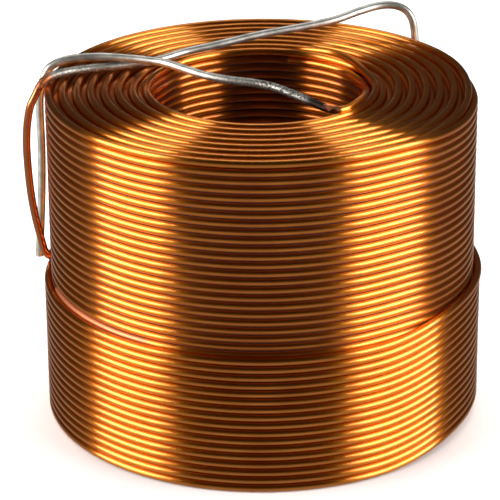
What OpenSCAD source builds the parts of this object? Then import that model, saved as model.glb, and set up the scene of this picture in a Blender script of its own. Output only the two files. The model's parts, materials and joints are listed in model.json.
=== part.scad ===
// Air core inductor: one enamelled copper wire wound in nested layers and bonded to itself, with no former.
// Millimetres, +Z up. The origin is on the coil's axis, in the plane that it stands on.
// Angles are measured from +X, anticlockwise seen from above, which is also the way the wire was wound.

/* [Wire] */
// Outside diameter of the enamelled wire
wire_d = 1.45; // [1.2:0.05:1.7]
// Diameter of the wire where it is stripped and tinned
tinned_d = 1.5; // [1.25:0.05:1.75]
// Gap between neighbouring turns of a layer
turn_gap = 0.06; // [0.03:0.01:0.12]
// Bonding varnish between one layer and the next
bond_gap = 0.01; // [0.005:0.005:0.03]
// Height of the bonding varnish over the turns' centres in the grooves
groove_fill = 0.2; // [0.1:0.05:0.3]

/* [Winding] */
// Diameter of the bore that the winding mandrel left
bore_d = 39.4; // [34:0.2:46]
// Number of full layers
full_layers = 15; // [13:1:17]
// Turns in each full layer
layer_turns = 40; // [34:1:46]
// Turns in the part layer round the coil's lower end
part_turns = 17; // [10:1:24]
// Depth to which the mandrel and its flange flattened the turns that touched them
press_flat = 0.02; // [0.01:0.005:0.04]

/* [Leads] */
// Clear gap between the hanging part of a lead and the coil's side
lead_gap = 1.1; // [0.9:0.1:2]
// Angle at which the inner lead hangs
inner_hang_angle = 168.7; // [165:0.1:172]
// Angle at which the outer lead rises
outer_rise_angle = 178.8; // [177:0.1:182]
// Depth of the inner lead's end below the top turns
inner_drop = 36.4; // [30:0.2:40]
// Angle at which the outer lead's end hangs
outer_end_angle = 43.6; // [38:0.2:60]
// Depth of the outer lead's end below the top turns
outer_drop = 14.6; // [13:0.2:24]
// Straight length at each lead's end, where a terminal goes on
end_straight = 10; // [6:0.5:11]

/* [Hidden] */
$fn = 72;
// Flats round a formed lead, and how far inside the round wire's surface its corners lie
wire_sides = 12;
corner_depth = 0.02;
// The last turns of the bore layer that sprang clear of the mandrel's wall
sprung_turns = 2;

turn_pitch = wire_d + turn_gap;
// Each layer lies in the grooves of the one inside it, so it is nearer than a wire's diameter
layer_pitch = sqrt((wire_d + bond_gap) ^ 2 - (turn_pitch / 2) ^ 2);
wire_r = wire_d / 2;
bore_r = bore_d / 2;
part_layer = full_layers + 1;

// Radius of a layer's turns and height of one of its turns; odd layers lie half a pitch higher
function layer_r(layer) = bore_r + wire_r - press_flat + (layer - 1) * layer_pitch;
function turn_z(layer, turn) = wire_r - press_flat + (turn + (layer % 2) / 2) * turn_pitch;
function top_turn_z(layer) = turn_z(layer, (layer == part_layer ? part_turns : layer_turns) - 1);
function polar(r, angle, z) = [r * cos(angle), r * sin(angle), z];

side_r = layer_r(full_layers) + wire_r;
top_z = max(top_turn_z(1), top_turn_z(2)) + wire_r;
// The first turn of the outer full layer that the part layer leaves bare
first_bare_turn = part_turns - full_layers % 2;

// Places on the coil's mouth and rim, each with an offset out from it and one up from the top turns
function mouth(out, angle, up) = polar(layer_r(1) + out, angle, top_z + up);
function rim(out, angle, up) = polar(side_r + out, angle, top_z + up);
function over(x, y, up) = [x, y, top_z + up];

// ---- winding ----

// The solid core of turns, up to the varnish in the outermost grooves
module core_section() {
    bottom = [for (layer = [1:part_layer]) [layer_r(layer), turn_z(layer, 0) - groove_fill]];
    top = [for (layer = [full_layers:-1:1]) [layer_r(layer), top_turn_z(layer) + groove_fill]];
    bore_x = layer_r(1) - groove_fill;
    outer_x = layer_r(full_layers) + groove_fill;
    part_x = layer_r(part_layer) + groove_fill;
    polygon(concat(
        bottom,
        [[part_x, turn_z(part_layer, 0)], [part_x, top_turn_z(part_layer)]],
        [[layer_r(part_layer), top_turn_z(part_layer) + groove_fill]],
        [[outer_x, turn_z(full_layers, first_bare_turn)], [outer_x, top_turn_z(full_layers)]],
        top,
        [[bore_x, top_turn_z(1)], [bore_x, turn_z(1, 0)]]
    ));
}

module turn_section(layer, turn) {
    translate([layer_r(layer), turn_z(layer, turn)]) circle(r = wire_r);
}

// Every turn that shows on the coil: bore, outside, part layer, then the two ends
module outer_turns_section() {
    for (turn = [0:layer_turns - 1]) turn_section(1, turn);
    for (turn = [first_bare_turn:layer_turns - 1]) turn_section(full_layers, turn);
    for (turn = [0:part_turns - 1]) turn_section(part_layer, turn);
    for (layer = [2:full_layers - 1]) turn_section(layer, layer_turns - 1);
    for (layer = [2:full_layers]) turn_section(layer, 0);
}

// The mandrel's wall, up to the turns that sprang clear of it, and the flange under the coil
module winding_tool_section() {
    mandrel_top = top_turn_z(1) - (sprung_turns - 0.5) * turn_pitch;
    translate([0, -wire_d]) square([bore_r, mandrel_top + wire_d]);
    translate([0, -wire_d]) square([layer_r(part_layer) + wire_d, wire_d]);
}

module winding() {
    rotate_extrude() difference() {
        union() {
            core_section();
            outer_turns_section();
        }
        winding_tool_section();
    }
}

// ---- leads ----

function unit(v) = v / norm(v);
function halfway(a, b) = (a + b) / 2;
function part_way(a, b, length) = a + length * unit(b - a);

// A route with every corner cut off once, so that the wire turns in twice as many, gentler bends
function rounded(route) = let (last = len(route) - 1) [
    route[0],
    for (i = [1:last - 1]) each [
        route[i] + (route[i - 1] - route[i]) / 4,
        route[i] + (route[i + 1] - route[i]) / 4
    ],
    route[last]
];

// The way that the wire's cross-section faces at a point of its route: halfway between the stretches that meet
function facing(route, i) = let (
    before = i > 0 ? unit(route[i] - route[i - 1]) : [0, 0, 0],
    after = i < len(route) - 1 ? unit(route[i + 1] - route[i]) : [0, 0, 0]
) unit(before + after);

// The cross-section at the start of a route
function first_ring(route, r) = let (
    along = facing(route, 0),
    side = unit(cross([0, 0, 1], along)),
    up = cross(along, side)
) [for (i = [1:wire_sides]) route[0] + r * (cos(i * 360 / wire_sides) * side + sin(i * 360 / wire_sides) * up)];

// Every cross-section: each is the one before it, slid along the wire to the next bend
function rings(route, ring, i = 0) = i == len(route) - 1 ? [ring] : let (
    along = unit(route[i + 1] - route[i]),
    plane = facing(route, i + 1),
    next = [for (corner = ring) corner + along * (((route[i + 1] - corner) * plane) / (along * plane))]
) concat([ring], rings(route, next, i + 1));

// Formed wire of diameter d along a route
module formed_wire(route, d) {
    loops = rings(route, first_ring(route, d / 2 - corner_depth));
    end = (len(loops) - 1) * wire_sides;
    sides = [for (start = [0:wire_sides:end - 1], i = [0:wire_sides - 1])
        let (corner = start + i, beside = start + (i + 1) % wire_sides)
        [corner, corner + wire_sides, beside + wire_sides, beside]];
    caps = [[for (i = [0:wire_sides - 1]) i], [for (i = [wire_sides - 1:-1:0]) end + i]];
    polyhedron([for (loop = loops) each loop], concat(caps, sides));
}

// Straight round wire, which a terminal fits
module straight_wire(from, to, d) {
    step = to - from;
    translate(from)
        rotate([0, acos(step.z / norm(step)), atan2(step.y, step.x)])
            cylinder(h = norm(step), d = d);
}

hang_out = lead_gap + tinned_d / 2;
rest = tinned_d / 2;
crossing = rest + tinned_d;

// Inner lead: off the top turn of the bore layer, across the mouth, over the outer lead and down the side
inner_enamelled = [
    polar(layer_r(1) + wire_r, 58, top_turn_z(1) - turn_pitch),
    mouth(-0.3, 40, -2.2),
    mouth(-0.9, 28, -2.15),
    mouth(-1.3, 16, -2),
    mouth(-1.5, 5, -1.6),
    mouth(-1.55, -5, -1.05),
    mouth(-1.4, -15, -0.55),
    mouth(-1.1, -25, -0.2),
    mouth(-0.7, -33, 0.05),
    mouth(-0.35, -39.5, 0.15),
    mouth(-0.35, -43.8, 0.2),
    mouth(-0.6, -47, 0.25),
    mouth(-1.2, -49.8, 0.35),
    mouth(-2, -51.6, 0.5)
];
inner_tinned = [
    mouth(-6.3, -54, 0.9),
    over(4.6, -7.9, 1.3),
    over(2.4, -6, 1.5),
    over(0.1, -4.6, 1.6),
    over(-2.1, -3.8, 1.7),
    over(-4.3, -3.3, 1.8),
    over(-6.5, -2.6, 1.9),
    over(-8.7, -1.6, 2),
    over(-10.9, -0.2, 2.1),
    over(-13.2, 1.8, 2.2),
    over(-15.4, 3.8, 2.3),
    rim(-20, 162.4, crossing + 0.1),
    rim(-17.4, 161.7, crossing + 0.1),
    rim(-12.8, 162, crossing + 0.15),
    rim(-8.2, 163.1, crossing + 0.15),
    rim(-4.2, 165.2, 2.2),
    rim(-2.2, 166.5, 1.9),
    rim(-0.5, 167.5, 1.3),
    rim(0.7, 168.2, 0.4),
    rim(1.4, 168.5, -0.9),
    rim(hang_out, inner_hang_angle, -2.4),
    rim(hang_out + 0.5, inner_hang_angle, -4.6),
    rim(hang_out + 0.65, inner_hang_angle, -8),
    rim(hang_out + 0.6, inner_hang_angle, -14),
    rim(hang_out + 0.75, inner_hang_angle, -20)
];
inner_straight = rim(hang_out + 1.1, inner_hang_angle, end_straight - inner_drop);
inner_end = rim(hang_out + 1.85, inner_hang_angle, -inner_drop);

// Outer lead: from the last turn of the part layer up the side, over the rim, across the mouth, down the back
exit_z = top_turn_z(part_layer);
rise = top_z - exit_z;
function riser(out, turned, share) = polar(side_r + out, outer_rise_angle + turned, exit_z + share * rise);
outer_enamelled = [
    polar(layer_r(full_layers), 166, exit_z),
    polar(layer_r(part_layer) + 0.3, 172, exit_z + 0.1),
    riser(1.15, -4.9, 0.02),
    riser(1.4, -4, 0.045),
    riser(1.55, -3.5, 0.08),
    riser(hang_out + 0.2, -3, 0.145),
    riser(hang_out + 1.1, -2.3, 0.28),
    riser(hang_out + 1.65, -1.7, 0.415),
    riser(hang_out + 1.9, -1, 0.555),
    riser(hang_out + 1.9, -0.3, 0.695),
    riser(hang_out + 1.5, 0.2, 0.81),
    riser(hang_out + 0.8, 0.5, 0.895),
    riser(hang_out - 0.2, 0.5, 0.95),
    rim(1.15, 179.1, -0.7)
];
outer_tinned = [
    rim(0.3, 178.6, 0.5),
    rim(-0.5, 177.6, 1),
    rim(-1.5, 175.7, 1.1),
    rim(-3.2, 172.2, rest + 0.15),
    rim(-6.3, 167.9, rest + 0.05),
    rim(-10.6, 163.2, rest + 0.05),
    rim(-14.6, 156, rest + 0.05),
    rim(-16.2, 151.3, rest + 0.1),
    rim(-17.3, 145, rest + 0.15),
    rim(-18.5, 133.5, rest + 0.5),
    over(-7.6, 16.6, 2),
    over(-0.4, 19.1, 2.9),
    over(8.7, 21.8, 3.7),
    rim(-11, 59.2, 4.3),
    rim(-6.7, 54.7, 5.1),
    rim(-3.6, 52.1, 5.5),
    rim(-1.7, 50, 5.6),
    rim(-0.4, 48, 5.4),
    rim(0.4, 46.4, 4.9),
    rim(0.9, 45.1, 4.1),
    rim(1.2, 44.2, 3),
    rim(1.5, outer_end_angle, 0.6)
];
outer_straight = rim(hang_out + 0.1, outer_end_angle, end_straight - outer_drop);
outer_end = rim(hang_out + 1.2, outer_end_angle, -outer_drop);

// The enamel ends halfway along a straight stretch, so the two finishes meet on a flat round face
inner_enamel_edge = halfway(inner_enamelled[len(inner_enamelled) - 1], inner_tinned[0]);
outer_enamel_edge = halfway(outer_enamelled[len(outer_enamelled) - 1], outer_tinned[0]);

// ---- the wire, in three stretches ----

module wound_wire() {
    color("peru") {
        winding();
        formed_wire(rounded(concat(inner_enamelled, [inner_enamel_edge])), wire_d);
        formed_wire(rounded(concat(outer_enamelled, [outer_enamel_edge])), wire_d);
    }
}

// A tinned end: formed wire that runs one diameter into the straight round wire at its tip
module tinned_end(enamel_edge, route, straight, end) {
    inside = part_way(straight, end, tinned_d);
    color("silver") {
        formed_wire(rounded(concat([enamel_edge], route, [inside])), tinned_d);
        straight_wire(straight, end, tinned_d);
    }
}

module inner_lead_tinned_end() {
    tinned_end(inner_enamel_edge, inner_tinned, inner_straight, inner_end);
}

module outer_lead_tinned_end() {
    tinned_end(outer_enamel_edge, outer_tinned, outer_straight, outer_end);
}

wound_wire();
inner_lead_tinned_end();
outer_lead_tinned_end();
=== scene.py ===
"""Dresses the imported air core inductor.

One enamelled copper wire is wound in nested layers on a mandrel that is then pulled out, and
bonded to itself. Both of its ends are stripped, tinned and formed over the coil's mouth. Every turn
that shows is drawn as the wire runs: level round most of the coil, then over to the next turn or
the next layer.
"""

import json
import logging
import math
from dataclasses import dataclass
from enum import Enum

import bpy
from mathutils import Matrix, Vector, kdtree


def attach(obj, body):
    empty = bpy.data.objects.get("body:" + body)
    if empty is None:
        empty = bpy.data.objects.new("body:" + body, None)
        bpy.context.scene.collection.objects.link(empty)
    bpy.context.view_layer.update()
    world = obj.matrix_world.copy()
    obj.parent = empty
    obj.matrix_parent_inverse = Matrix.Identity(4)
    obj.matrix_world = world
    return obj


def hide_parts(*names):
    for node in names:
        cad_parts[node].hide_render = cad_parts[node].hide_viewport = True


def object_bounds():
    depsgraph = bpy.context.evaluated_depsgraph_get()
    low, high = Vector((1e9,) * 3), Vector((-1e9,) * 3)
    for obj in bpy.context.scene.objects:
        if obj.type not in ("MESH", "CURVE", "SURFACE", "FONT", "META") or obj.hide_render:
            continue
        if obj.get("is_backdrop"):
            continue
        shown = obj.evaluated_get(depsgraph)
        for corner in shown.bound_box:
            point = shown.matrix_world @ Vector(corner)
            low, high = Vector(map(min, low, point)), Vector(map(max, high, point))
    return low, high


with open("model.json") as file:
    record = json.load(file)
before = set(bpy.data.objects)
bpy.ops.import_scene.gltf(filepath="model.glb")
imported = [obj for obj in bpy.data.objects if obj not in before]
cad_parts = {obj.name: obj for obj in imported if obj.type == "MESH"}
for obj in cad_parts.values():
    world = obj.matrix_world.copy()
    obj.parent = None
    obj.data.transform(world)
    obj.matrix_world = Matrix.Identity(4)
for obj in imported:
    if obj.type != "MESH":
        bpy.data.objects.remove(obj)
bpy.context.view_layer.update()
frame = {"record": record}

log = logging.getLogger("inductor")

MM = 0.001
FULL_TURN = 360.0
# Points that are closer than this, in metres, are one point, on a wire and on the turned core.
WIRE_MERGE = 1e-7
CORE_MERGE = 1e-6
# Faces that meet at less than this many degrees are shaded as one surface.
SMOOTH_UNDER = 50.0
# A Mix node has a result for each kind of value, and this is the colour's.
MIXED_COLOUR = 2
ROOT = "root"
EDGE_DISTANCE = "mm_from_enamel_edge"
RUBBED = "share_rubbed_bare"

Point = tuple[float, float, float]


class Travel(Enum):
    """The way a layer is wound, as the sign of its step from one turn to the next."""

    UP = 1
    DOWN = -1


class Node(Enum):
    """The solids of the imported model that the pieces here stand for."""

    WOUND_WIRE = "wound_wire"
    INNER_TINNED = "inner_lead_tinned_end"
    OUTER_TINNED = "outer_lead_tinned_end"


class Slot(Enum):
    """The record's material slots."""

    ENAMEL = "enamelled_copper"
    TIN = "tinned_copper"


# ---- small helpers ----


def linear(colour: str) -> tuple[float, float, float, float]:
    """Turns an sRGB hex colour into linear light, by the curve of the sRGB standard.

    Args:
        colour: six hex digits after a hash sign.

    Returns:
        Red, green, blue and alpha, each from 0 to 1.
    """
    channels = [int(colour[i : i + 2], 16) / 255 for i in (1, 3, 5)]
    lit = [c / 12.92 if c <= 0.04045 else ((c + 0.055) / 1.055) ** 2.4 for c in channels]
    return (*lit, 1.0)


def eased(share: float) -> float:
    """Runs from 0 to 1 with a soft start and end, and stays at 0 or 1 outside.

    Args:
        share: how far along, from 0 to 1.

    Returns:
        The eased share.
    """
    t = min(1.0, max(0.0, share))
    return t * t * (3 - 2 * t)


def polar(radius: float, angle: float, height: float) -> Point:
    """Turns a place round the coil's axis into a point.

    Args:
        radius: distance from the axis.
        angle: degrees from +X, anticlockwise seen from above.
        height: height over the surface that the coil stands on.

    Returns:
        The point, in the same unit as radius and height.
    """
    a = math.radians(angle)
    return (radius * math.cos(a), radius * math.sin(a), height)


def select_only(obj: bpy.types.Object) -> None:
    """Selects one object and makes it active, with everything else deselected.

    Args:
        obj: the object.
    """
    bpy.ops.object.select_all(action="DESELECT")
    obj.select_set(True)
    bpy.context.view_layer.objects.active = obj


def close_and_face_out(obj: bpy.types.Object, merge: float) -> None:
    """Merges a mesh's doubled points and turns all its faces outwards.

    Args:
        obj: the mesh object.
        merge: distance in metres under which points are the same.
    """
    select_only(obj)
    bpy.ops.object.mode_set(mode="EDIT")
    bpy.ops.mesh.select_all(action="SELECT")
    bpy.ops.mesh.remove_doubles(threshold=merge)
    bpy.ops.mesh.normals_make_consistent(inside=False)
    bpy.ops.object.mode_set(mode="OBJECT")
    bpy.ops.object.shade_smooth_by_angle(angle=math.radians(SMOOTH_UNDER))


def join(parts: list[bpy.types.Object], name: str) -> bpy.types.Object:
    """Joins several mesh objects into one.

    Args:
        parts: the objects, at least one.
        name: the joined object's name.

    Returns:
        The joined object.
    """
    select_only(parts[0])
    for part in parts:
        part.select_set(True)
    if len(parts) > 1:
        bpy.ops.object.join()
    joined = bpy.context.view_layer.objects.active
    joined.name = name
    joined.data.name = name
    return joined


def note_along(
    wire: bpy.types.Object,
    name: str,
    line: list[Point],
    values: list[float],
    reach: float = math.inf,
) -> None:
    """Stores a value on each of a wire's points, taken from the nearest point of a line.

    Args:
        wire: the wire's mesh object.
        name: the attribute's name.
        line: a closely spaced line, in millimetres.
        values: the value at each point of the line.
        reach: distance in millimetres beyond which a point of the wire gets 0.
    """
    tree = kdtree.KDTree(len(line))
    for number, point in enumerate(line):
        tree.insert(Vector(point) * MM, number)
    tree.balance()
    noted = wire.data.attributes.new(name, "FLOAT", "POINT").data
    for corner, note in zip(wire.data.vertices, noted):
        _, nearest, gap = tree.find(corner.co)
        note.value = values[nearest] if gap <= reach * MM else 0.0


def travelled(line: list[Point]) -> list[float]:
    """Measures how far each point of a line is from its start, along the line.

    Args:
        line: the line's points, in millimetres.

    Returns:
        A distance in millimetres for each point.
    """
    distances = [0.0]
    for near, far in zip(line, line[1:]):
        distances.append(distances[-1] + (Vector(far) - Vector(near)).length)
    return distances


def draw_wire(name: str, points: list[Point], diameter: float, sides: int) -> bpy.types.Object:
    """Draws round wire along a line of points, with flat closed ends.

    Args:
        name: the new object's name.
        points: the wire's centre line, in millimetres.
        diameter: the wire's diameter, in millimetres.
        sides: flats round the wire, an even number from four up.

    Returns:
        The wire as a mesh at the origin.
    """
    bpy.ops.object.select_all(action="DESELECT")
    bpy.ops.curve.primitive_nurbs_path_add(location=(0, 0, 0))
    wire = bpy.context.active_object
    wire.name = name
    path = wire.data
    path.splines.clear()
    line = path.splines.new("POLY")
    line.points.add(len(points) - 1)
    for knot, point in zip(line.points, points):
        knot.co = (point[0] * MM, point[1] * MM, point[2] * MM, 1)
    path.dimensions = "3D"
    path.twist_mode = "MINIMUM"
    path.bevel_depth = diameter / 2 * MM
    path.bevel_resolution = sides // 2 - 2
    path.use_fill_caps = True
    select_only(wire)
    bpy.ops.object.convert(target="MESH")
    close_and_face_out(wire, WIRE_MERGE)
    return wire


# ---- finishes ----


def new_material(name: str) -> bpy.types.Material:
    """Makes an empty node material.

    Args:
        name: the material's name.

    Returns:
        The material, with no node in its tree.
    """
    material = bpy.data.materials.new(name)
    material.use_nodes = True
    material.node_tree.nodes.clear()
    return material


def add(
    tree: bpy.types.NodeTree, kind: str, settings: dict | None = None, **inputs: object
) -> bpy.types.Node:
    """Adds a node with its settings, socket values and links.

    Args:
        tree: the node tree.
        kind: the node's type name, without ShaderNode before it.
        settings: attributes of the node itself, where stops are a ramp's places and sRGB colours.
        inputs: a value or a socket to link from, by the socket's name with _ for a space, or by i
            and the socket's number where several have the same name.

    Returns:
        The new node.
    """
    node = tree.nodes.new("ShaderNode" + kind)
    for key, value in (settings or {}).items():
        if key != "stops":
            setattr(node, key, value)
            continue
        for element, (place, colour) in zip(node.color_ramp.elements, value):
            element.position = place
            element.color = linear(colour)
    for key, value in inputs.items():
        numbered = key[0] == "i" and key[1:].isdigit()
        socket = node.inputs[int(key[1:])] if numbered else node.inputs[key.replace("_", " ")]
        if isinstance(value, bpy.types.NodeSocket):
            tree.links.new(value, socket)
        else:
            socket.default_value = value
    return node


@dataclass(frozen=True)
class EnamelledCopper:
    """Magnet wire: drawn copper under a clear amber polyester-imide enamel.

    It has a deep orange shine. The drawn grain stretches each highlight, the edge colour keeps the
    copper warm where it is seen at a slant, and dust makes it a little duller in patches.
    """

    name: str = "enamelled copper wire"
    copper: str = "#DC8326"
    dull: str = "#CE741F"
    edge: str = "#F9D4B8"
    roughness: float = 0.3
    grain: float = 0.92
    enamel_ior: float = 1.6
    enamel_roughness: float = 0.08
    enamel_gloss: float = 0.5
    dust_mm: float = 6.0
    clean_share: float = 0.95
    dusty_share: float = 1.1
    grain_turn: float = 0.25

    def shader(self, tree: bpy.types.NodeTree) -> bpy.types.Node:
        """Adds the copper with its enamel.

        Args:
            tree: the material's node tree.

        Returns:
            The shader's node.
        """
        place = add(tree, "TexCoord").outputs["Object"]
        dust = add(tree, "TexNoise", Vector=place, Scale=1 / (self.dust_mm * MM), Detail=3.0)
        tones = {"stops": [(0.35, self.copper), (0.7, self.dull)]}
        colour = add(tree, "ValToRGB", tones, Fac=dust.outputs["Fac"])
        rough = add(
            tree, "MapRange", Value=dust.outputs["Fac"], From_Min=0.3, From_Max=0.7,
            To_Min=self.roughness * self.clean_share, To_Max=self.roughness * self.dusty_share,
        )
        shader = add(
            tree, "BsdfPrincipled", Base_Color=colour.outputs["Color"], Metallic=1.0,
            Specular_Tint=linear(self.edge), Roughness=rough.outputs["Result"],
            Coat_Weight=self.enamel_gloss, Coat_Roughness=self.enamel_roughness,
            Coat_IOR=self.enamel_ior,
        )
        if self.grain:
            along = add(tree, "Tangent", {"direction_type": "RADIAL", "axis": "Z"})
            tree.links.new(along.outputs["Tangent"], shader.inputs["Tangent"])
            shader.inputs["Anisotropic"].default_value = self.grain
            shader.inputs["Anisotropic Rotation"].default_value = self.grain_turn
        return shader

    def material(self) -> bpy.types.Material:
        """Builds the material.

        Returns:
            Copper with a drawn grain round the coil under a clear coat.
        """
        material = new_material(self.name)
        tree = material.node_tree
        add(tree, "OutputMaterial", Surface=self.shader(tree).outputs["BSDF"])
        return material


@dataclass(frozen=True)
class StrippedEnamel:
    """An enamelled lead, whose enamel is burnt and torn where it was stripped for the solder.

    It gives the eye a brown crust that frays into the clear orange enamel.
    """

    name: str = "enamelled copper, burnt at its stripped edge"
    wire: EnamelledCopper = EnamelledCopper()
    burnt: str = "#2B120A"
    bare: str = "#A5623F"
    burnt_to_mm: float = 3.0
    fray_mm: float = 1.1
    blur_mm: float = 0.4
    pit_depth_mm: float = 0.15

    def material(self) -> bpy.types.Material:
        """Builds the material.

        Returns:
            Enamelled copper that turns brown and rough towards its stripped edge.
        """
        material = new_material(self.name)
        tree = material.node_tree
        enamel = self.wire.shader(tree)
        place = add(tree, "TexCoord").outputs["Object"]
        fray = add(tree, "TexNoise", Vector=place, Scale=1 / (self.fray_mm * MM), Detail=5.0)
        left = add(tree, "Attribute", {"attribute_name": EDGE_DISTANCE}).outputs["Fac"]
        # The noise is about 0.5, so twice the noise makes the edge wander round burnt_to_mm.
        torn = add(
            tree, "Math", {"operation": "MULTIPLY_ADD"},
            i0=fray.outputs["Fac"], i1=-2 * self.burnt_to_mm, i2=left,
        )
        scorch = add(
            tree, "MapRange", Value=torn.outputs["Value"],
            From_Min=self.blur_mm, From_Max=-self.blur_mm,
        )
        tones = {"stops": [(0.45, self.burnt), (0.62, self.bare)]}
        stain = add(tree, "ValToRGB", tones, Fac=fray.outputs["Fac"])
        pits = add(
            tree, "Bump", Height=fray.outputs["Fac"], Strength=0.6, Distance=self.pit_depth_mm * MM
        )
        residue = add(
            tree, "BsdfPrincipled", Base_Color=stain.outputs["Color"], Metallic=0.8, Roughness=0.45,
            Normal=pits.outputs["Normal"],
        )
        mixed = add(
            tree, "MixShader", Fac=scorch.outputs["Result"],
            i1=enamel.outputs["BSDF"], i2=residue.outputs["BSDF"],
        )
        add(tree, "OutputMaterial", Surface=mixed.outputs["Shader"])
        return material


@dataclass(frozen=True)
class RubbedEnamel:
    """Winding wire whose enamel is rubbed through along one stretch, down to pale bare copper."""

    name: str = "enamelled copper wire, rubbed along one turn"
    wire: EnamelledCopper = EnamelledCopper()
    bare: str = "#D98C60"
    scratch_mm: float = 0.9
    through_at: float = 1.2

    def material(self) -> bpy.types.Material:
        """Builds the material.

        Returns:
            Enamelled copper with matt bare copper where the wire is marked as rubbed.
        """
        material = new_material(self.name)
        tree = material.node_tree
        enamel = self.wire.shader(tree)
        place = add(tree, "TexCoord").outputs["Object"]
        scratch = add(
            tree, "TexNoise", Vector=place, Scale=1 / (self.scratch_mm * MM), Detail=4.0
        )
        rubbed = add(tree, "Attribute", {"attribute_name": RUBBED}).outputs["Fac"]
        worn = add(tree, "Math", {"operation": "ADD"}, i0=rubbed, i1=scratch.outputs["Fac"])
        through = add(
            tree, "MapRange", Value=worn.outputs["Value"], From_Min=1.0, From_Max=self.through_at
        )
        bare = add(
            tree, "BsdfPrincipled", Base_Color=linear(self.bare), Metallic=1.0, Roughness=0.5
        )
        mixed = add(
            tree, "MixShader", Fac=through.outputs["Result"],
            i1=enamel.outputs["BSDF"], i2=bare.outputs["BSDF"],
        )
        add(tree, "OutputMaterial", Surface=mixed.outputs["Shader"])
        return material


@dataclass(frozen=True)
class GrooveVarnishAndShade:
    """Bonding varnish in the grooves, nearly black with painted shade."""

    name: str = "bonding varnish darkened with painted groove shade"
    # Both tones are nearly black: painted shade deep in the grooves, over the varnish's brown.
    deep: str = "#1C0502"
    thin: str = "#3A1206"
    grain_mm: float = 2.0

    def material(self) -> bpy.types.Material:
        """Builds the material.

        Returns:
            A satin dark brown with uneven depth.
        """
        material = new_material(self.name)
        tree = material.node_tree
        place = add(tree, "TexCoord").outputs["Object"]
        depth = add(tree, "TexNoise", Vector=place, Scale=1 / (self.grain_mm * MM), Detail=3.0)
        tones = {"stops": [(0.4, self.deep), (0.75, self.thin)]}
        colour = add(tree, "ValToRGB", tones, Fac=depth.outputs["Fac"])
        shader = add(
            tree, "BsdfPrincipled", Base_Color=colour.outputs["Color"], Roughness=0.6, IOR=1.45
        )
        add(tree, "OutputMaterial", Surface=shader.outputs["BSDF"])
        return material


@dataclass(frozen=True)
class Solder:
    """Hot-dipped solder over copper: a soft grey shine with lumps, stained next to the enamel.

    A film of burnt flux darkens it from the enamel's edge on, and thins out with the distance. Its
    fade is never shorter than least_fade_mm.
    """

    name: str = "hot-dipped solder"
    bright: str = "#D4D1C9"
    dull: str = "#A7A39A"
    stain: str = "#A8683F"
    film: str = "#5A574F"
    roughness: float = 0.42
    lump_mm: float = 2.4
    lump_depth_mm: float = 0.06
    pit_mm: float = 0.35
    pit_depth_mm: float = 0.08
    stain_to_mm: float = 2.0
    stain_blur_mm: float = 0.9
    film_to_mm: float = 24.0
    least_fade_mm: float = 0.01
    film_share: float = 0.75
    full_film_share: float = 0.4
    film_roughening: float = 1.5

    def material(self) -> bpy.types.Material:
        """Builds the material.

        Returns:
            A soft grey metal with lumps, a ragged stain at its start and a dark film beyond it.
        """
        material = new_material(self.name)
        tree = material.node_tree
        place = add(tree, "TexCoord").outputs["Object"]
        lumps = add(tree, "TexNoise", Vector=place, Scale=1 / (self.lump_mm * MM), Detail=3.0)
        pits = add(tree, "TexNoise", Vector=place, Scale=1 / (self.pit_mm * MM), Detail=3.0)
        tones = {"stops": [(0.35, self.dull), (0.65, self.bright)]}
        metal = add(tree, "ValToRGB", tones, Fac=lumps.outputs["Fac"])
        left = add(tree, "Attribute", {"attribute_name": EDGE_DISTANCE}).outputs["Fac"]
        faded = add(
            tree, "MapRange", Value=left, From_Min=self.full_film_share * self.film_to_mm,
            From_Max=self.film_to_mm + self.least_fade_mm, To_Min=self.film_share, To_Max=0.0,
        )
        patchy = add(
            tree, "MapRange", Value=pits.outputs["Fac"],
            From_Min=0.4, From_Max=0.66, To_Min=1.0, To_Max=0.2,
        )
        filmed = add(
            tree, "Math", {"operation": "MULTIPLY"},
            i0=faded.outputs["Result"], i1=patchy.outputs["Result"],
        )
        # The noise is about 0.5, so twice the noise makes the stain end round stain_to_mm.
        ragged = add(
            tree, "Math", {"operation": "MULTIPLY_ADD"},
            i0=pits.outputs["Fac"], i1=-2 * self.stain_to_mm, i2=left,
        )
        stained = add(
            tree, "MapRange", Value=ragged.outputs["Value"],
            From_Min=self.stain_blur_mm, From_Max=-self.stain_blur_mm,
        )
        dimmed = add(
            tree, "Mix", {"data_type": "RGBA"}, Factor=filmed.outputs["Value"],
            i6=metal.outputs["Color"], i7=linear(self.film),
        )
        colour = add(
            tree, "Mix", {"data_type": "RGBA"}, Factor=stained.outputs["Result"],
            i6=dimmed.outputs[MIXED_COLOUR], i7=linear(self.stain),
        )
        rough = add(
            tree, "MapRange", Value=filmed.outputs["Value"],
            To_Min=self.roughness, To_Max=self.roughness * self.film_roughening,
        )
        deep = add(tree, "MapRange", Value=filmed.outputs["Value"], To_Min=0.15, To_Max=1.0)
        fine = add(
            tree, "Bump", Height=pits.outputs["Fac"], Strength=deep.outputs["Result"],
            Distance=self.pit_depth_mm * MM,
        )
        soft = add(
            tree, "Bump", Height=lumps.outputs["Fac"], Strength=0.3,
            Distance=self.lump_depth_mm * MM, Normal=fine.outputs["Normal"],
        )
        shader = add(
            tree, "BsdfPrincipled", Base_Color=colour.outputs[MIXED_COLOUR], Metallic=1.0,
            Roughness=rough.outputs["Result"], Normal=soft.outputs["Normal"],
        )
        add(tree, "OutputMaterial", Surface=shader.outputs["BSDF"])
        return material


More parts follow.
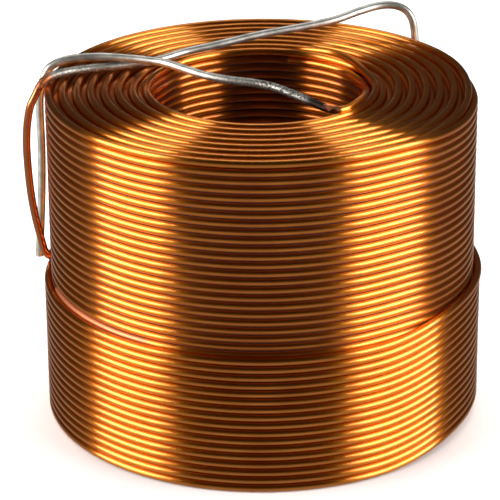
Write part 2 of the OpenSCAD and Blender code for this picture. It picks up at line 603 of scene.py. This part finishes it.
@dataclass(frozen=True)
class PaleFloor:
    """Matt white laminate, nearly even, as under a product on a studio table."""

    name: str = "matt white laminate"
    white: str = "#E6E5E4"
    grey: str = "#E2E1E0"
    cloud_mm: float = 90.0

    def material(self) -> bpy.types.Material:
        """Builds the material.

        Returns:
            A matt off-white with a faint cloudiness.
        """
        material = new_material(self.name)
        tree = material.node_tree
        place = add(tree, "TexCoord").outputs["Object"]
        cloud = add(tree, "TexNoise", Vector=place, Scale=1 / (self.cloud_mm * MM), Detail=2.0)
        tones = {"stops": [(0.3, self.white), (0.7, self.grey)]}
        colour = add(tree, "ValToRGB", tones, Fac=cloud.outputs["Fac"])
        shader = add(tree, "BsdfPrincipled", Base_Color=colour.outputs["Color"], Roughness=0.7)
        add(tree, "OutputMaterial", Surface=shader.outputs["BSDF"])
        return material


# ---- the coil ----


@dataclass(frozen=True)
class WireSizes:
    """The wire and the way it is wound, in millimetres."""

    bore_r: float
    wire_d: float = 1.45
    tinned_d: float = 1.5
    turn_gap: float = 0.06
    bond_gap: float = 0.01
    groove_fill: float = 0.2
    press_flat: float = 0.02
    full_layers: int = 15
    layer_turns: int = 40
    part_turns: int = 17

    @property
    def wire_r(self) -> float:
        """Radius of the enamelled wire."""
        return self.wire_d / 2

    @property
    def pitch(self) -> float:
        """Height from one turn to the next."""
        return self.wire_d + self.turn_gap

    @property
    def layer_pitch(self) -> float:
        """Distance from one layer to the next, which lies in its grooves."""
        return math.sqrt((self.wire_d + self.bond_gap) ** 2 - (self.pitch / 2) ** 2)

    @property
    def part_layer(self) -> int:
        """Number of the part layer round the coil's lower end."""
        return self.full_layers + 1

    @property
    def side_r(self) -> float:
        """Radius over the last full layer."""
        return self.layer_r(self.full_layers) + self.wire_r

    @property
    def top_z(self) -> float:
        """Height over the top turns."""
        return max(self.top_turn_z(1), self.top_turn_z(2)) + self.wire_r

    def layer_r(self, layer: int) -> float:
        """Radius of the centre line of a layer's turns."""
        return self.bore_r + self.wire_r - self.press_flat + (layer - 1) * self.layer_pitch

    def turn_z(self, layer: int, turn: int) -> float:
        """Height of a turn's centre line, with odd layers half a pitch higher."""
        return self.wire_r - self.press_flat + (turn + (layer % 2) / 2) * self.pitch

    def top_turn_z(self, layer: int) -> float:
        """Height of a layer's highest turn."""
        turns = self.part_turns if layer == self.part_layer else self.layer_turns
        return self.turn_z(layer, turns - 1)


@dataclass(frozen=True)
class Zone:
    """A stretch of each turn where the wire moves over, in degrees from +X."""

    start: float
    end: float

    def share(self, turned: float, origin: float) -> float:
        """How far the wire has moved over.

        Args:
            turned: degrees within the turn, from its origin.
            origin: the turn's start, in degrees from +X.

        Returns:
            A share from 0 before the zone to 1 after it.
        """
        start = (self.start - origin) % FULL_TURN
        return eased((turned - start) / (self.end - self.start))


@dataclass
class Winding:
    """The wound turns: a backing of varnish, and the wire of every turn that shows.

    The wire runs anticlockwise from the bore outwards. A layer starts some way after the climb
    zone. Each of its turns then moves one pitch over in the layer's own zone, and the last turn
    climbs onto the next layer. Where the wire moves over, it stands a little proud of its layer.
    Lengths are in millimetres and angles in degrees.

    The last two turns of each downward layer run through each other under the coil, because the
    step comes before the climb. Those of layer 2 share a place where climb and mouth_move overlap.
    """

    sizes: WireSizes
    start: float = 75.0
    climb: Zone = Zone(-15.0, 30.0)
    down_step: Zone = Zone(-60.0, -15.0)
    mouth_move: Zone = Zone(15.0, 75.0)
    part_step: Zone = Zone(-60.0, -25.0)
    spacing: float = 3.0
    ride_up: float = 0.06
    stand_off: float = 0.35
    proud_span: float = 135.0
    hop: float = 0.7
    exit_angle: float = 166.0
    covered_turns: int = 3
    core_steps: int = 96
    rubbed: Zone = Zone(187.0, 252.0)
    rub_onset: float = 5.0
    rub_ending: float = 3.0
    rub_reach: float = 0.04
    sides: int = 10

    @property
    def before_zones(self) -> float:
        """Degrees of a turn that are level in every layer."""
        return self.part_step.start - self.start + FULL_TURN

    def travel(self, layer: int) -> Travel:
        """Odd layers are wound downwards, starting at the bore's top, and even ones back up."""
        return Travel.DOWN if layer % 2 else Travel.UP

    def step_zone(self, layer: int) -> Zone:
        """Finds where the turns of a layer move one pitch over.

        Args:
            layer: the layer's number.

        Returns:
            The layer's zone.
        """
        if layer == self.sizes.part_layer:
            return self.part_step
        return self.down_step if layer % 2 else self.climb

    def turns(self, layer: int) -> int:
        """How many turns a layer has."""
        return self.sizes.layer_turns - 1 if layer == 1 else self.sizes.layer_turns

    def place(self, layer: int, turned: float) -> Point:
        """Where the wire is after so many degrees of a layer.

        Args:
            layer: the layer's number.
            turned: degrees since the layer's start.

        Returns:
            The point, in millimetres.
        """
        sizes = self.sizes
        whole, within = divmod(turned, FULL_TURN)
        steps = whole + self.step_zone(layer).share(within, self.start)
        last = self.turns(layer) - 1
        radius = sizes.layer_r(layer)
        if layer == sizes.part_layer:
            crossed = 0.0
            proud = self.stand_off if whole >= sizes.part_turns - 1 else self.ride_up
        else:
            steps = min(steps, last)
            crossed = self.climb.share(within, self.start) if whole == last else float(whole > last)
            proud = self.ride_up
        sign = self.travel(layer).value
        first = self.turns(layer) - 1 if sign < 0 else 0
        lift = (sizes.turn_z(layer + 1, 0) - sizes.turn_z(layer, 0)) * crossed
        height = sizes.turn_z(layer, 0) + (first + sign * steps) * sizes.pitch + lift
        moving = min(1.0, max(0.0, (within - self.before_zones) / self.proud_span))
        bulge = proud * math.sin(math.pi * moving) ** 2
        radius += sizes.layer_pitch * crossed + bulge * (1 - crossed)
        return polar(radius, self.start + turned, height)

    def stretch(self, layer: int, start: float, end: float) -> list[Point]:
        """Points along a stretch of one layer.

        Args:
            layer: the layer's number.
            start: degrees since the layer's start.
            end: degrees since the layer's start, larger than start.

        Returns:
            The centre line.
        """
        count = max(1, round((end - start) / self.spacing))
        return [self.place(layer, start + (end - start) * i / count) for i in range(count + 1)]

    def layer_end(self, layer: int) -> list[Point]:
        """A layer's last two turns from their level part on, up to the next layer."""
        total = self.turns(layer) * FULL_TURN
        return self.stretch(layer, total - 2 * FULL_TURN + self.before_zones, total)

    def turnover(self, layer: int) -> list[Point]:
        """The wire where one layer ends and the next one begins."""
        return self.layer_end(layer) + self.stretch(layer + 1, 0, FULL_TURN)[1:]

    def mouth_turn(self) -> list[Point]:
        """Takes the wire from layer 2 into the bore layer's top place, round once, and to layer 3.

        Returns:
            The centre line.
        """
        sizes = self.sizes
        total = self.turns(2) * FULL_TURN
        to_start = self.start - self.climb.start
        points = self.stretch(2, total - 3 * FULL_TURN + self.before_zones, total - to_start)
        top = sizes.turn_z(1, sizes.layer_turns - 1)
        low = sizes.top_turn_z(2)
        bore, second, over = sizes.layer_r(1), sizes.layer_r(2), sizes.layer_r(3)
        wait = self.mouth_move.start - self.climb.start
        move = self.mouth_move.end - self.mouth_move.start
        count = round((FULL_TURN + to_start) / self.spacing)
        for i in range(1, count + 1):
            turned = (FULL_TURN + to_start) * i / count
            inwards = eased((turned - wait) / move)
            outwards = eased((turned - wait - FULL_TURN) / move)
            radius = second + (bore - second) * inwards + (over - bore) * outwards
            height = low + (top - low) * inwards + self.hop * math.sin(math.pi * outwards)
            points.append(polar(radius, self.climb.start + turned, height))
        return points + self.stretch(3, 0, FULL_TURN)[1:]

    def mark_rubbed(self, wire: bpy.types.Object) -> None:
        """Marks the stretch just over the part layer's top turn where the enamel is rubbed through.

        Args:
            wire: the last full layer's wire.
        """
        sizes = self.sizes
        whole = sizes.layer_turns - sizes.part_turns
        steps = 200
        shares = [i / steps for i in range(steps + 1)]
        span = self.rubbed.end - self.rubbed.start
        begin = whole * FULL_TURN + self.rubbed.start - self.start
        line = [self.place(sizes.full_layers, begin + span * share) for share in shares]
        values = [
            min(eased(share * self.rub_onset), eased((1 - share) * self.rub_ending))
            for share in shares
        ]
        note_along(wire, RUBBED, line, values, sizes.wire_r + self.rub_reach)

    def core(self) -> bpy.types.Object:
        """Builds the varnish and hidden turns behind the turns that show.

        Returns:
            A closed ring with grooved ends.
        """
        sizes = self.sizes
        fill = sizes.groove_fill
        sunk = sizes.pitch + fill
        full = sizes.full_layers
        section = [(sizes.layer_r(n), sizes.turn_z(n, 0) + sunk) for n in range(1, full + 1)]
        outer_x = sizes.layer_r(full) + fill
        section += [(outer_x, sizes.turn_z(1, 1)), (outer_x, sizes.top_turn_z(full) - sunk)]
        section += [(sizes.layer_r(n), sizes.top_turn_z(n) - sunk) for n in range(full, 0, -1)]
        bore_x = sizes.layer_r(1) - fill
        section += [(bore_x, sizes.top_turn_z(1) - sunk), (bore_x, sizes.turn_z(1, 1))]
        bpy.ops.object.select_all(action="DESELECT")
        bpy.ops.mesh.primitive_circle_add(vertices=len(section), radius=1, location=(0, 0, 0))
        ring = bpy.context.active_object
        ring.name = "bonded_core"
        for corner, (radius, height) in zip(ring.data.vertices, section):
            corner.co = (radius * MM, 0, height * MM)
        select_only(ring)
        bpy.ops.object.mode_set(mode="EDIT")
        bpy.ops.mesh.select_all(action="SELECT")
        bpy.ops.mesh.spin(
            steps=self.core_steps, angle=math.radians(FULL_TURN), center=(0, 0, 0), axis=(0, 0, 1)
        )
        bpy.ops.object.mode_set(mode="OBJECT")
        close_and_face_out(ring, CORE_MERGE)
        return ring

    def build(self) -> list[bpy.types.Object]:
        """Builds every piece of the winding.

        Returns:
            The pieces, core first.
        """
        sizes = self.sizes
        full, part = sizes.full_layers, sizes.part_layer
        drawn_turns = sizes.layer_turns - sizes.part_turns + self.covered_turns
        part_end = sizes.part_turns * FULL_TURN + self.exit_angle - self.start
        bore_end = self.turns(1) * FULL_TURN
        outer_run = self.stretch(full, 0, drawn_turns * FULL_TURN)
        runs = {
            "bore_layer": [self.stretch(1, 0, bore_end) + self.stretch(2, 0, FULL_TURN)[1:]],
            "outer_full_layer": [self.layer_end(full - 1) + outer_run[1:]],
            "part_layer": [self.layer_end(full) + self.stretch(part, 0, part_end)[1:]],
            "top_turns": [self.mouth_turn()] + [self.turnover(n) for n in range(4, full - 1, 2)],
            "bottom_turns": [self.turnover(n) for n in range(3, full, 2)],
        }
        pieces = [self.core()]
        for name, paths in runs.items():
            wires = [
                draw_wire(f"{name}_{number}", path, sizes.wire_d, self.sides)
                for number, path in enumerate(paths)
            ]
            pieces.append(join(wires, name))
            if name == "outer_full_layer":
                self.mark_rubbed(pieces[-1])
        return pieces


# ---- the leads ----


@dataclass
class Leads:
    """Both ends of the wire, formed by hand over the coil's mouth.

    Lengths are in millimetres and angles in degrees.
    """

    sizes: WireSizes
    lead_gap: float = 1.1
    inner_hang_angle: float = 168.7
    outer_rise_angle: float = 178.8
    inner_drop: float = 36.4
    outer_end_angle: float = 43.6
    outer_drop: float = 14.6
    end_straight: float = 10.0
    crossing_rise: float = 1.5
    enamel_past: int = 2
    spacing: float = 0.5
    sides: int = 10

    @property
    def hang_out(self) -> float:
        """How far a hanging lead's centre line is from the coil's side."""
        return self.lead_gap + self.sizes.tinned_d / 2

    def mouth(self, out: float, angle: float, up: float) -> Point:
        """A place by the bore's top turn, with an offset out from it and one up."""
        return polar(self.sizes.layer_r(1) + out, angle, self.sizes.top_z + up)

    def rim(self, out: float, angle: float, up: float) -> Point:
        """A place by the coil's outer top edge, with an offset out from it and one up."""
        return polar(self.sizes.side_r + out, angle, self.sizes.top_z + up)

    def over(self, x: float, y: float, up: float) -> Point:
        """A place over the coil's mouth."""
        return (x, y, self.sizes.top_z + up)

    def riser(self, out: float, turned: float, share: float) -> Point:
        """Finds a place on the outer lead's way up the coil's side.

        Args:
            out: distance from the side of the full layers.
            turned: degrees from where the lead rises.
            share: how far up, from the part layer's top turn to the top.

        Returns:
            The point.
        """
        low = self.sizes.top_turn_z(self.sizes.part_layer)
        height = low + share * (self.sizes.top_z - low)
        return polar(self.sizes.side_r + out, self.outer_rise_angle + turned, height)

    def inner_enamelled(self) -> list[Point]:
        """Lists the inner lead's way from the bore layer to the edge of its enamel.

        Returns:
            The points that the lead passes.
        """
        sizes = self.sizes
        mouth = self.mouth
        return [
            polar(sizes.layer_r(1), 75, sizes.top_turn_z(1) - sizes.pitch),
            polar(sizes.layer_r(1), 62, sizes.top_turn_z(1) - sizes.pitch),
            mouth(-0.25, 40, -2.2),
            mouth(-0.9, 28, -2.15),
            mouth(-1.3, 16, -2),
            mouth(-1.5, 5, -1.6),
            mouth(-1.55, -5, -1.05),
            mouth(-1.4, -15, -0.55),
            mouth(-1.1, -25, -0.2),
            mouth(-0.7, -33, 0.05),
            mouth(-0.35, -39.5, 0.15),
            mouth(-0.35, -43.8, 0.2),
            mouth(-0.6, -47, 0.25),
            mouth(-1.2, -49.8, 0.35),
            mouth(-2, -51.6, 0.5),
        ]

    def inner_tinned(self) -> list[Point]:
        """Lists the inner lead's way from the edge of its enamel, over the outer lead, to its end.

        Returns:
            The points that the lead passes.
        """
        over, rim, hang, at = self.over, self.rim, self.hang_out, self.inner_hang_angle
        crossing = self.sizes.tinned_d * self.crossing_rise
        return [
            self.mouth(-6.3, -54, 0.9),
            over(4.6, -7.9, 1.3),
            over(2.4, -6, 1.5),
            over(0.1, -4.6, 1.6),
            over(-2.1, -3.8, 1.7),
            over(-4.3, -3.3, 1.8),
            over(-6.5, -2.6, 1.9),
            over(-8.7, -1.6, 2),
            over(-10.9, -0.2, 2.1),
            over(-13.2, 1.8, 2.2),
            over(-15.4, 3.8, 2.3),
            rim(-20, 162.4, crossing + 0.1),
            rim(-17.4, 161.7, crossing + 0.1),
            rim(-12.8, 162, crossing + 0.15),
            rim(-8.2, 163.1, crossing + 0.15),
            rim(-4.2, 165.2, 2.2),
            rim(-2.2, 166.5, 1.9),
            rim(-0.5, 167.5, 1.3),
            rim(0.7, 168.2, 0.4),
            rim(1.4, 168.5, -0.9),
            rim(hang, at, -2.4),
            rim(hang + 0.5, at, -4.6),
            rim(hang + 0.65, at, -8),
            rim(hang + 0.6, at, -14),
            rim(hang + 0.75, at, -20),
            rim(hang + 1.1, at, self.end_straight - self.inner_drop),
            rim(hang + 1.85, at, -self.inner_drop),
        ]

    def outer_enamelled(self) -> list[Point]:
        """Lists the outer lead's way from the part layer to the edge of its enamel.

        Returns:
            The points that the lead passes.
        """
        sizes, riser, hang = self.sizes, self.riser, self.hang_out
        last = sizes.top_turn_z(sizes.part_layer) + sizes.pitch
        return [
            polar(sizes.layer_r(sizes.part_layer), 166, last),
            polar(sizes.layer_r(sizes.part_layer) + 0.1, 171, last),
            riser(0.85, -4.4, 0.046),
            riser(1.55, -3.5, 0.08),
            riser(hang + 0.2, -3, 0.145),
            riser(hang + 1.1, -2.3, 0.28),
            riser(hang + 1.65, -1.7, 0.415),
            riser(hang + 1.9, -1, 0.555),
            riser(hang + 1.9, -0.3, 0.695),
            riser(hang + 1.5, 0.2, 0.81),
            riser(hang + 0.8, 0.5, 0.895),
            riser(hang - 0.2, 0.5, 0.95),
            self.rim(1.15, 179.1, -0.7),
        ]

    def outer_tinned(self) -> list[Point]:
        """Lists the outer lead's way from the edge of its enamel to its end.

        Returns:
            The points that the lead passes.
        """
        over, rim, hang, at = self.over, self.rim, self.hang_out, self.outer_end_angle
        rest = self.sizes.tinned_d / 2
        return [
            rim(0.3, 178.6, 0.5),
            rim(-0.5, 177.6, 1),
            rim(-1.5, 175.7, 1.1),
            rim(-3.2, 172.2, rest + 0.15),
            rim(-6.3, 167.9, rest + 0.05),
            rim(-10.6, 163.2, rest + 0.05),
            rim(-14.6, 156, rest + 0.05),
            rim(-16.2, 151.3, rest + 0.1),
            rim(-17.3, 145, rest + 0.15),
            rim(-18.5, 133.5, rest + 0.5),
            over(-7.6, 16.6, 2),
            over(-0.4, 19.1, 2.9),
            over(8.7, 21.8, 3.7),
            rim(-11, 59.2, 4.3),
            rim(-6.7, 54.7, 5.1),
            rim(-3.6, 52.1, 5.5),
            rim(-1.7, 50, 5.6),
            rim(-0.4, 48, 5.4),
            rim(0.4, 46.4, 4.9),
            rim(0.9, 45.1, 4.1),
            rim(1.2, 44.2, 3),
            rim(1.5, at, 0.6),
            rim(hang + 0.1, at, self.end_straight - self.outer_drop),
            rim(hang + 1.2, at, -self.outer_drop),
        ]

    def smooth(self, route: list[Point]) -> list[Point]:
        """Draws one smooth line through a route's points.

        Args:
            route: the points, in millimetres.

        Returns:
            Points closely spaced along the line.
        """
        knots = [Vector(p) for p in route]
        knots = [2 * knots[0] - knots[1], *knots, 2 * knots[-1] - knots[-2]]
        line = []
        for a, b, c, d in zip(knots, knots[1:], knots[2:], knots[3:]):
            times = [0.0]
            for near, far in ((a, b), (b, c), (c, d)):
                times.append(times[-1] + math.sqrt((far - near).length))
            count = max(1, round((c - b).length / self.spacing))
            for i in range(count):
                t = times[1] + (times[2] - times[1]) * i / count
                line.append(self.between((a, b, c, d), times, t))
        return [tuple(p) for p in line] + [tuple(knots[-2])]

    @staticmethod
    def between(knots: tuple[Vector, ...], times: list[float], t: float) -> Vector:
        """A point on the smooth curve through the middle two of four knots.

        Args:
            knots: four points in a row.
            times: when the curve passes each of them.
            t: the time wanted, between the second and the third.

        Returns:
            The point at that time.
        """
        level = list(knots)
        for width in (1, 2):
            level = [
                near.lerp(far, (t - times[i]) / (times[i + width] - times[i]))
                for i, (near, far) in enumerate(zip(level, level[1:]))
            ]
        return level[0].lerp(level[1], (t - times[1]) / (times[2] - times[1]))

    def build(self) -> dict[str, bpy.types.Object]:
        """Builds both leads, each in an enamelled and a tinned stretch.

        Returns:
            The four pieces by name.
        """
        sizes = self.sizes
        inner = self.smooth(self.inner_enamelled() + self.inner_tinned())
        outer = self.smooth(self.outer_enamelled() + self.outer_tinned())
        pieces = {}
        for name, line, last in (
            ("inner_lead", inner, self.inner_enamelled()[-1]),
            ("outer_lead", outer, self.outer_enamelled()[-1]),
        ):
            near = min(range(len(line)), key=lambda i: (Vector(line[i]) - Vector(last)).length)
            edge = near + self.enamel_past
            for suffix, part, diameter in (
                ("_enamelled", line[edge::-1], sizes.wire_d),
                ("_tinned", line[edge:], sizes.tinned_d),
            ):
                piece = draw_wire(name + suffix, part, diameter, self.sides)
                note_along(piece, EDGE_DISTANCE, part, travelled(part))
                pieces[name + suffix] = piece
        return pieces


# ---- the studio ----


@dataclass(frozen=True)
class Softbox:
    """A large soft light that faces the coil from one side.

    Its place and its width and height are in degrees, as seen from the coil, and its distance is in
    metres.
    """

    name: str
    azimuth: float
    elevation: float
    width: float
    height: float
    radiance: float
    distance: float = 1.0
    shine: bool = True

    def place(self, centre: Vector) -> None:
        """Adds the light.

        Args:
            centre: the point that it faces, in metres.
        """
        way = Vector(polar(1, self.azimuth, 0)) * math.cos(math.radians(self.elevation))
        way.z = math.sin(math.radians(self.elevation))
        lamp = bpy.data.lights.new(self.name, "AREA")
        lamp.shape = "RECTANGLE"
        lamp.size = 2 * self.distance * math.tan(math.radians(self.width / 2))
        lamp.size_y = 2 * self.distance * math.tan(math.radians(self.height / 2))
        lamp.energy = self.radiance * lamp.size * lamp.size_y * math.pi
        obj = bpy.data.objects.new(self.name, lamp)
        bpy.context.scene.collection.objects.link(obj)
        obj.location = centre + way * self.distance
        obj.rotation_euler = way.to_track_quat("Z", "Y").to_euler()
        obj.visible_glossy = self.shine


@dataclass
class Studio:
    """The floor, lights and camera.

    Lengths are in millimetres, apart from the floor's size in metres, and angles are in degrees.
    """

    focal_mm: float = 186.1
    distance: float = 473.67
    pitch: float = 23.0
    roll: float = -0.42
    aim: Point = (-2.178, 0.0, 28.95)
    floor_size: float = 6.0
    bore_floor_r: float = 19.0
    bore_floor_up: float = 0.02
    light_aim_up: float = 30.0
    room: str = "#EEEDEA"
    front_glow: float = 0.02
    back_glow: float = 0.075
    low_glow: float = 0.55
    boxes: tuple[Softbox, ...] = (
        Softbox("left softbox", -162.5, 18, 40, 39, 8.6),
        Softbox("right softbox", -19.5, 18, 44, 39, 8.6),
        Softbox("back softbox", 90, 56, 38, 22, 2.7),
        Softbox("floor wash", 90, 70, 90, 90, 2.4, shine=False),
    )

    def camera(self) -> None:
        """Adds the camera, which looks along +Y and down on the coil."""
        lens = bpy.data.cameras.new("camera")
        lens.lens = self.focal_mm
        lens.clip_start, lens.clip_end = 0.01, 20
        eye = bpy.data.objects.new("camera", lens)
        bpy.context.scene.collection.objects.link(eye)
        tilt = math.radians(self.pitch)
        back = Vector((0, -math.cos(tilt), math.sin(tilt)))
        eye.location = (Vector(self.aim) + back * self.distance) * MM
        roll = Matrix.Rotation(math.radians(self.roll), 3, "Z")
        turned = Matrix.Rotation(math.pi / 2 - tilt, 3, "X") @ roll
        eye.rotation_euler = turned.to_euler()
        bpy.context.scene.camera = eye
        bpy.context.scene.view_settings.view_transform = "Standard"

    def floor(self, height: float) -> None:
        """Adds the floor, and a disc of it in the bore that shows in the copper's reflections.

        Args:
            height: its height in metres.
        """
        bpy.ops.object.select_all(action="DESELECT")
        bpy.ops.mesh.primitive_plane_add(size=self.floor_size, location=(0, 0, 0))
        floor = bpy.context.active_object
        floor.name = "floor"
        for corner in floor.data.vertices:
            corner.co.z = height
        bpy.ops.mesh.primitive_circle_add(
            vertices=96, radius=self.bore_floor_r * MM, fill_type="NGON", location=(0, 0, 0)
        )
        shaded = bpy.context.active_object
        shaded.name = "floor_in_bore"
        for corner in shaded.data.vertices:
            corner.co.z = height + self.bore_floor_up * MM
        laminate = PaleFloor().material()
        for piece in (floor, shaded):
            piece.data.materials.append(laminate)
            piece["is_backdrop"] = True
        floor.visible_glossy = False

    def lights(self) -> None:
        """Adds the soft lights and a dim room, which glows from under the horizon."""
        centre = Vector((0, 0, self.light_aim_up * MM))
        for box in self.boxes:
            box.place(centre)
        world = bpy.data.worlds.new("dim room")
        bpy.context.scene.world = world
        world.use_nodes = True
        tree = world.node_tree
        tree.nodes.clear()
        way = add(tree, "SeparateXYZ", Vector=add(tree, "TexCoord").outputs["Generated"])
        soft = {"interpolation_type": "SMOOTHSTEP"}
        upper = add(
            tree, "MapRange", soft, Value=way.outputs["Y"],
            From_Min=-0.3, From_Max=0.9, To_Min=self.front_glow, To_Max=self.back_glow,
        )
        below = add(
            tree, "MapRange", soft, Value=way.outputs["Z"], From_Min=-0.06, From_Max=-0.18
        )
        glow = add(
            tree, "Mix", {"data_type": "FLOAT"}, Factor=below.outputs["Result"],
            A=upper.outputs["Result"], B=self.low_glow,
        )
        room = add(tree, "Background", Color=linear(self.room), Strength=glow.outputs["Result"])
        add(tree, "OutputWorld", Surface=room.outputs["Background"])


# ---- putting it together ----


def finish_piece(
    piece: bpy.types.Object, material: bpy.types.Material, node: Node, slot: Slot
) -> None:
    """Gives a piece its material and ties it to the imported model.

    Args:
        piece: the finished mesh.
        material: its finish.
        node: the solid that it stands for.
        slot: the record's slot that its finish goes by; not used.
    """
    piece.data.materials.clear()
    piece.data.materials.append(material)
    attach(piece, ROOT)
    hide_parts(node.value)
    log.info("%s: %d faces", piece.name, len(piece.data.polygons))


def main() -> None:
    """Builds the studio and every piece."""
    logging.basicConfig(level=logging.INFO, format="%(name)s: %(message)s")
    bore = next(m for m in frame["record"]["mounts"] if m["name"] == "bore")
    sizes = WireSizes(bore_r=bore["dims"]["r_mm"])
    studio = Studio()
    studio.camera()
    enamel = EnamelledCopper().material()
    rubbed = RubbedEnamel().material()
    varnish = GrooveVarnishAndShade().material()
    burnt = StrippedEnamel().material()
    # The outer lead's copper is darker than the winding's: painted shade along the lead. Its torn
    # and burnt edge is wear.
    torn = StrippedEnamel(
        name="enamelled copper, torn at its stripped edge",
        wire=EnamelledCopper(
            copper="#BE6418", dull="#A85210", grain=0.0, roughness=0.26, enamel_gloss=0.9
        ),
        burnt="#5A2414",
        bare="#B5714A",
        burnt_to_mm=1.2,
    ).material()
    # The bore layer's copper is darker than the winding's: painted shade for the depth of the bore.
    shaded = EnamelledCopper(
        name="enamelled copper wire, darker as painted shade in the bore", copper="#BE6717", dull="#A65712"
    ).material()
    clean_solder = Solder().material()
    fluxed_solder = Solder(
        name="hot-dipped solder under burnt flux",
        bright="#E4E0D6",
        dull="#B8B4AA",
        stain="#2A211C",
        film="#2C2925",
        stain_to_mm=3.6,
        film_to_mm=32.0,
        film_share=0.95,
    ).material()
    finishes = {"bonded_core": varnish, "bore_layer": shaded, "outer_full_layer": rubbed}
    for piece in Winding(sizes).build():
        finish_piece(piece, finishes.get(piece.name, enamel), Node.WOUND_WIRE, Slot.ENAMEL)
    leads = Leads(sizes).build()
    for name, material, node, slot in (
        ("inner_lead_enamelled", burnt, Node.WOUND_WIRE, Slot.ENAMEL),
        ("inner_lead_tinned", fluxed_solder, Node.INNER_TINNED, Slot.TIN),
        ("outer_lead_enamelled", torn, Node.WOUND_WIRE, Slot.ENAMEL),
        ("outer_lead_tinned", clean_solder, Node.OUTER_TINNED, Slot.TIN),
    ):
        finish_piece(leads[name], material, node, slot)
    studio.floor(min(0.0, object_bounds()[0].z))
    studio.lights()


if __name__ == "__main__":
    main()
